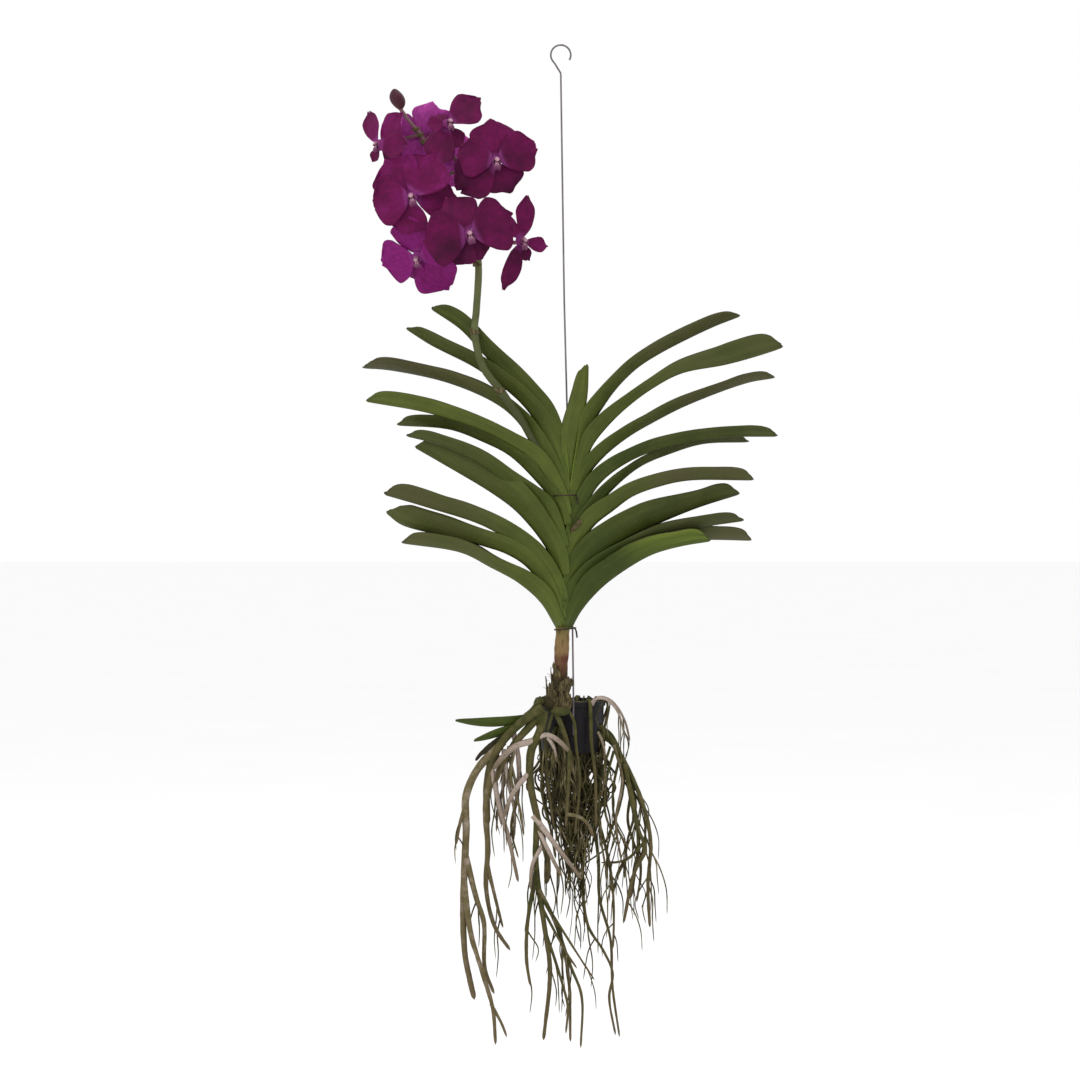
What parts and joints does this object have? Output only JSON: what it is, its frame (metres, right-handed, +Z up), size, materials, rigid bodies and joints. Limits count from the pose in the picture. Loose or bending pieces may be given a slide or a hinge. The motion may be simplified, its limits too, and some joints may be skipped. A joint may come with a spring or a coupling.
{
  "type": "hanging vanda orchid",
  "caption": "Flowering strap-leaved orchid with bare aerial roots, tied to a wire hanger that carries a small black pot.",
  "frame": {"origin": "inner top of the wire's hook, where a rail or hook carries the plant", "axes": "+Z up along the wire, +X to the right of the fan of leaves, -Y towards its front"},
  "size_m": [0.4577, 0.1541, 1.09],
  "materials": {
    "wire": "dull drawn steel",
    "tie": "dark annealed wire",
    "pot": "moulded, dusty",
    "leaf": "waxy, satin",
    "sheath": "waxy, satin",
    "bark": "dry, fibrous",
    "dead_leaf": "dry",
    "spike": "satin",
    "tepal": "velvety sheen",
    "lip": "waxy",
    "bud": "satin",
    "root": "matt velamen"
  },
  "bodies": {
    "root": {"hanger_wire": "wire", "tie_upper": "tie", "tie_lower": "tie", "pot": "pot", "stem_leafy": "sheath", "stem_old": "bark", "flower_spike": "spike", "bud": "bud", "leaf_left_01": "leaf", "leaf_left_02": "leaf", "leaf_left_03": "leaf", "leaf_left_04": "leaf", "leaf_left_05": "leaf", "leaf_left_06": "leaf", "leaf_left_07": "leaf", "leaf_left_08": "leaf", "leaf_left_09": "leaf", "leaf_left_10": "leaf", "leaf_right_01": "leaf", "leaf_right_02": "leaf", "leaf_right_03": "leaf", "leaf_right_04": "leaf", "leaf_right_05": "leaf", "leaf_right_06": "leaf", "leaf_right_07": "leaf", "leaf_right_08": "leaf", "leaf_right_09": "leaf", "leaf_right_10": "leaf", "leaf_crown": "leaf", "offshoot": "leaf", "offshoot_dead_leaf": "dead_leaf", "bloom_1_tepals": "tepal", "bloom_1_lip": "lip", "bloom_2_tepals": "tepal", "bloom_2_lip": "lip", "bloom_3_tepals": "tepal", "bloom_3_lip": "lip", "bloom_4_tepals": "tepal", "bloom_4_lip": "lip", "bloom_5_tepals": "tepal", "bloom_5_lip": "lip", "bloom_6_tepals": "tepal", "bloom_6_lip": "lip", "bloom_7_tepals": "tepal", "bloom_7_lip": "lip", "bloom_8_tepals": "tepal", "bloom_8_lip": "lip", "bloom_9_tepals": "tepal", "bloom_9_lip": "lip", "roots_left": "root", "roots_centre": "root", "roots_front": "root", "roots_pot": "root"}
  },
  "joints": []
}
